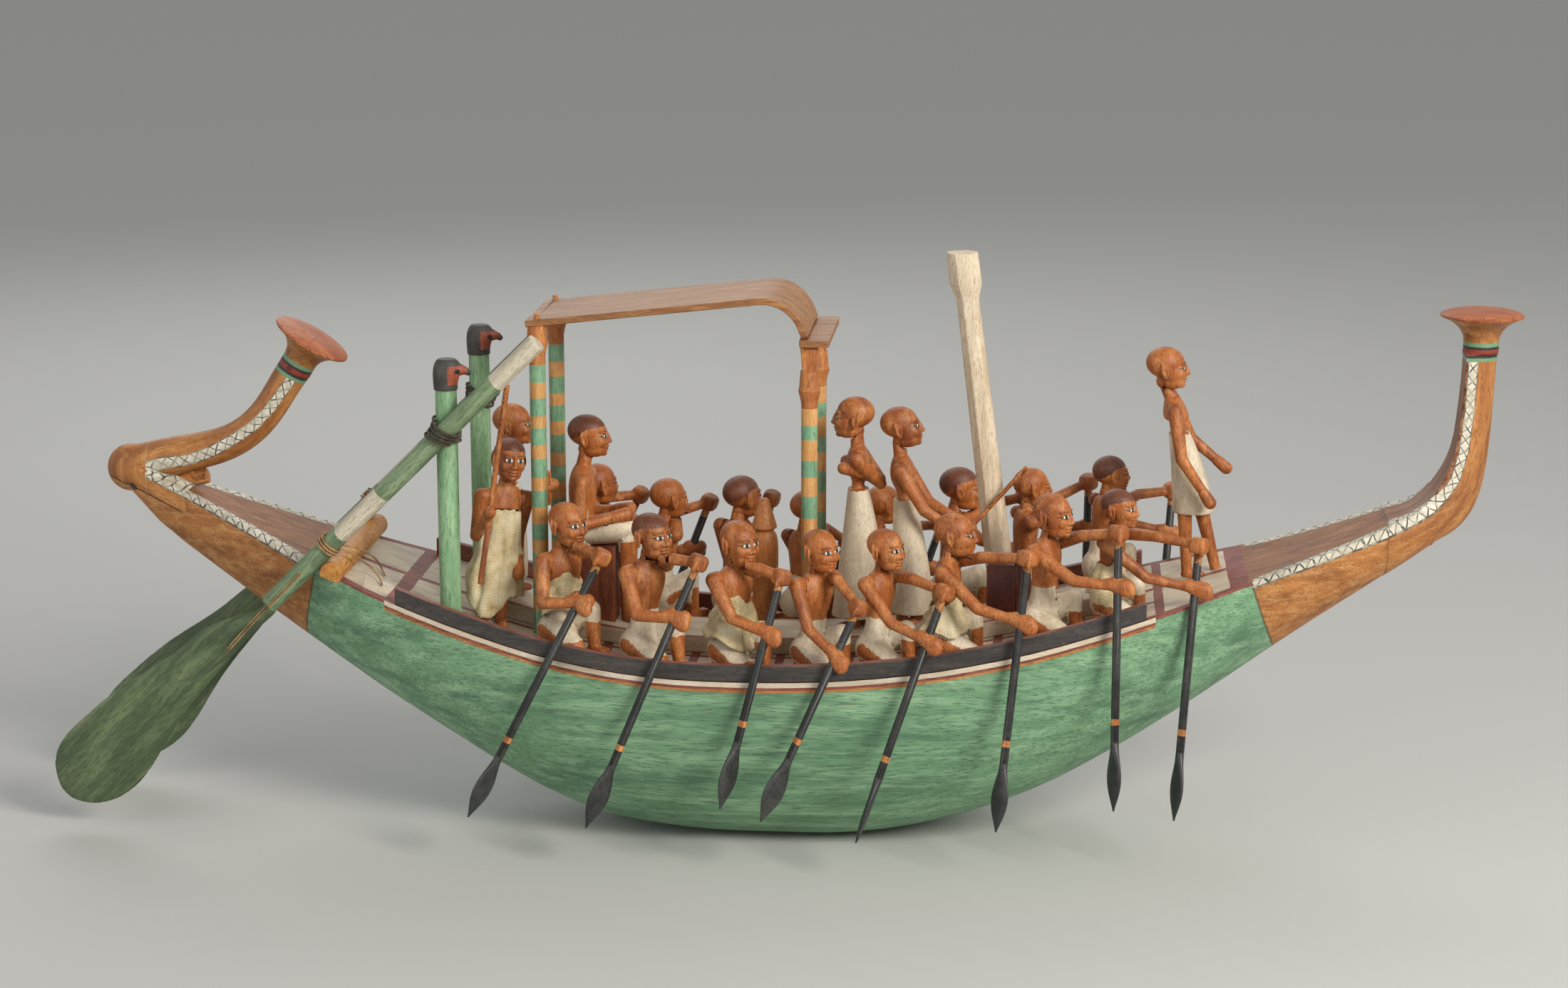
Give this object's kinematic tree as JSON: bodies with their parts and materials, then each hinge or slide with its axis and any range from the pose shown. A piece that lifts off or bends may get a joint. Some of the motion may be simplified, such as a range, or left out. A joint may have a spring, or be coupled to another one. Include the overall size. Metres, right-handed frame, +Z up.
{
  "type": "egyptian tomb model boat",
  "caption": "Carved and painted wooden river boat with upturned papyrus-flower ends, a kneeling paddling crew, steering oars on posts, a canopy over a seated owner and standing attendants.",
  "frame": {"origin": "on the flat of the keel that the boat rests on, in the middle plane, under the canopy's fore columns", "axes": "+X to the bow, +Y to port, +Z up"},
  "size_m": [1.2954, 0.3432, 0.525],
  "materials": {
    "hull_paint": "matt painted gesso over wood",
    "finial_paint": "matt painted gesso over wood",
    "rail_paint": "matt paint",
    "deck_paint": "matt paint",
    "beam_wood": "bare wood",
    "post_paint": "matt paint",
    "oar_paint": "matt paint",
    "canopy_wood": "bare wood",
    "column_paint": "matt paint",
    "mast_paint": "matt whitewash",
    "step_paint": "satin paint",
    "figure_wood": "painted wood",
    "seat_wood": "painted wood",
    "jar_wood": "painted wood",
    "paddle_paint": "matt paint",
    "rope": "twisted cord",
    "twine": "twisted twine",
    "linen": "woven linen"
  },
  "bodies": {
    "root": {"hull": "hull_paint", "stern_finial": "finial_paint", "bow_finial": "finial_paint", "gunwale_rails": "rail_paint", "deck_platform": "deck_paint", "stern_crossbeam": "beam_wood", "steering_posts": "post_paint", "post_lashings": "rope", "crossbeam_lashings": "rope", "loose_twine": "twine", "canopy_roof": "canopy_wood", "canopy_columns": "column_paint", "canopy_lintel": "canopy_wood", "mast_post": "mast_paint", "mast_step": "step_paint", "seated_owner": "figure_wood", "owner_seat": "seat_wood", "jar": "jar_wood", "jar_cover": "jar_wood", "bow_lookout": "figure_wood", "attendant": "figure_wood", "hauler": "figure_wood", "staff_bearer": "figure_wood", "steersman": "figure_wood", "linen_wraps": "linen", "starboard_paddler_1": "figure_wood", "starboard_paddler_2": "figure_wood", "starboard_paddler_3": "figure_wood", "starboard_paddler_4": "figure_wood", "starboard_paddler_5": "figure_wood", "starboard_paddler_6": "figure_wood", "starboard_paddler_7": "figure_wood", "starboard_paddler_8": "figure_wood", "port_paddler_1": "figure_wood", "port_paddler_2": "figure_wood", "port_paddler_3": "figure_wood", "port_paddler_4": "figure_wood", "port_paddler_5": "figure_wood", "port_paddler_6": "figure_wood", "port_paddler_7": "figure_wood", "port_paddler_8": "figure_wood"},
    "starboard_steering_oar": {"starboard_steering_oar": "oar_paint", "loom_twine": "twine"},
    "port_steering_oar": {"port_steering_oar": "oar_paint"},
    "starboard_paddle_1": {"starboard_paddle_1": "paddle_paint"},
    "starboard_paddle_2": {"starboard_paddle_2": "paddle_paint"},
    "starboard_paddle_3": {"starboard_paddle_3": "paddle_paint"},
    "starboard_paddle_4": {"starboard_paddle_4": "paddle_paint"},
    "starboard_paddle_5": {"starboard_paddle_5": "paddle_paint"},
    "starboard_paddle_6": {"starboard_paddle_6": "paddle_paint"},
    "starboard_paddle_7": {"starboard_paddle_7": "paddle_paint"},
    "starboard_paddle_8": {"starboard_paddle_8": "paddle_paint"},
    "port_paddle_1": {"port_paddle_1": "paddle_paint"},
    "port_paddle_2": {"port_paddle_2": "paddle_paint"},
    "port_paddle_3": {"port_paddle_3": "paddle_paint"},
    "port_paddle_4": {"port_paddle_4": "paddle_paint"},
    "port_paddle_5": {"port_paddle_5": "paddle_paint"},
    "port_paddle_6": {"port_paddle_6": "paddle_paint"},
    "port_paddle_7": {"port_paddle_7": "paddle_paint"},
    "port_paddle_8": {"port_paddle_8": "paddle_paint"}
  },
  "joints": [
    {"name": "starboard_steering_oar_turn", "type": "hinge", "parent": "root", "child": "starboard_steering_oar", "pos_m": [-0.316, -0.0972, 0.37491], "axis": [0.7127, -0.0558, 0.6992], "range_deg": [-28, 28]},
    {"name": "port_steering_oar_turn", "type": "hinge", "parent": "root", "child": "port_steering_oar", "pos_m": [-0.316, 0.0972, 0.37491], "axis": [0.7127, 0.0558, 0.6992], "range_deg": [-28, 28]},
    {"name": "starboard_paddle_1_turn", "type": "hinge", "parent": "root", "child": "starboard_paddle_1", "pos_m": [-0.19606, -0.11864, 0.23446], "axis": [0.4438, 0.1817, 0.8775], "range_deg": [-20, 20]},
    {"name": "starboard_paddle_2_turn", "type": "hinge", "parent": "root", "child": "starboard_paddle_2", "pos_m": [-0.11189, -0.12197, 0.22317], "axis": [0.3762, 0.185, 0.9079], "range_deg": [-20, 20]},
    {"name": "starboard_paddle_3_turn", "type": "hinge", "parent": "root", "child": "starboard_paddle_3", "pos_m": [-0.03267, -0.12342, 0.21199], "axis": [0.2372, 0.223, 0.9455], "range_deg": [-20, 20]},
    {"name": "starboard_paddle_4_turn", "type": "hinge", "parent": "root", "child": "starboard_paddle_4", "pos_m": [0.02743, -0.12869, 0.19351], "axis": [0.3955, 0.2278, 0.8898], "range_deg": [-20, 20]},
    {"name": "starboard_paddle_5_turn", "type": "hinge", "parent": "root", "child": "starboard_paddle_5", "pos_m": [0.10578, -0.12942, 0.20939], "axis": [0.315, 0.2025, 0.9272], "range_deg": [-20, 20]},
    {"name": "starboard_paddle_6_turn", "type": "hinge", "parent": "root", "child": "starboard_paddle_6", "pos_m": [0.18482, -0.12356, 0.22681], "axis": [0.0979, 0.1959, 0.9757], "range_deg": [-20, 20]},
    {"name": "starboard_paddle_7_turn", "type": "hinge", "parent": "root", "child": "starboard_paddle_7", "pos_m": [0.26664, -0.11171, 0.25703], "axis": [-0.0008, 0.1941, 0.981], "range_deg": [-20, 20]},
    {"name": "starboard_paddle_8_turn", "type": "hinge", "parent": "root", "child": "starboard_paddle_8", "pos_m": [0.33307, -0.09219, 0.25177], "axis": [0.0708, 0.1947, 0.9783], "range_deg": [-20, 20]},
    {"name": "port_paddle_1_turn", "type": "hinge", "parent": "root", "child": "port_paddle_1", "pos_m": [-0.19161, 0.11852, 0.23961], "axis": [0.4384, -0.1792, 0.8807], "range_deg": [-20, 20]},
    {"name": "port_paddle_2_turn", "type": "hinge", "parent": "root", "child": "port_paddle_2", "pos_m": [-0.12643, 0.12206, 0.22458], "axis": [0.3532, -0.1865, 0.9168], "range_deg": [-20, 20]},
    {"name": "port_paddle_3_turn", "type": "hinge", "parent": "root", "child": "port_paddle_3", "pos_m": [-0.05942, 0.12257, 0.22911], "axis": [0.1872, -0.207, 0.9603], "range_deg": [-20, 20]},
    {"name": "port_paddle_4_turn", "type": "hinge", "parent": "root", "child": "port_paddle_4", "pos_m": [0.00255, 0.12872, 0.19337], "axis": [0.3889, -0.2285, 0.8925], "range_deg": [-20, 20]},
    {"name": "port_paddle_5_turn", "type": "hinge", "parent": "root", "child": "port_paddle_5", "pos_m": [0.09359, 0.12838, 0.21125], "axis": [0.3003, -0.2016, 0.9323], "range_deg": [-20, 20]},
    {"name": "port_paddle_6_turn", "type": "hinge", "parent": "root", "child": "port_paddle_6", "pos_m": [0.1785, 0.12344, 0.22937], "axis": [0.0949, -0.1939, 0.9764], "range_deg": [-20, 20]},
    {"name": "port_paddle_7_turn", "type": "hinge", "parent": "root", "child": "port_paddle_7", "pos_m": [0.2416, 0.11346, 0.25492], "axis": [0.0082, -0.193, 0.9812], "range_deg": [-20, 20]},
    {"name": "port_paddle_8_turn", "type": "hinge", "parent": "root", "child": "port_paddle_8", "pos_m": [0.31579, 0.09664, 0.25589], "axis": [0.049, -0.192, 0.9802], "range_deg": [-20, 20]}
  ]
}
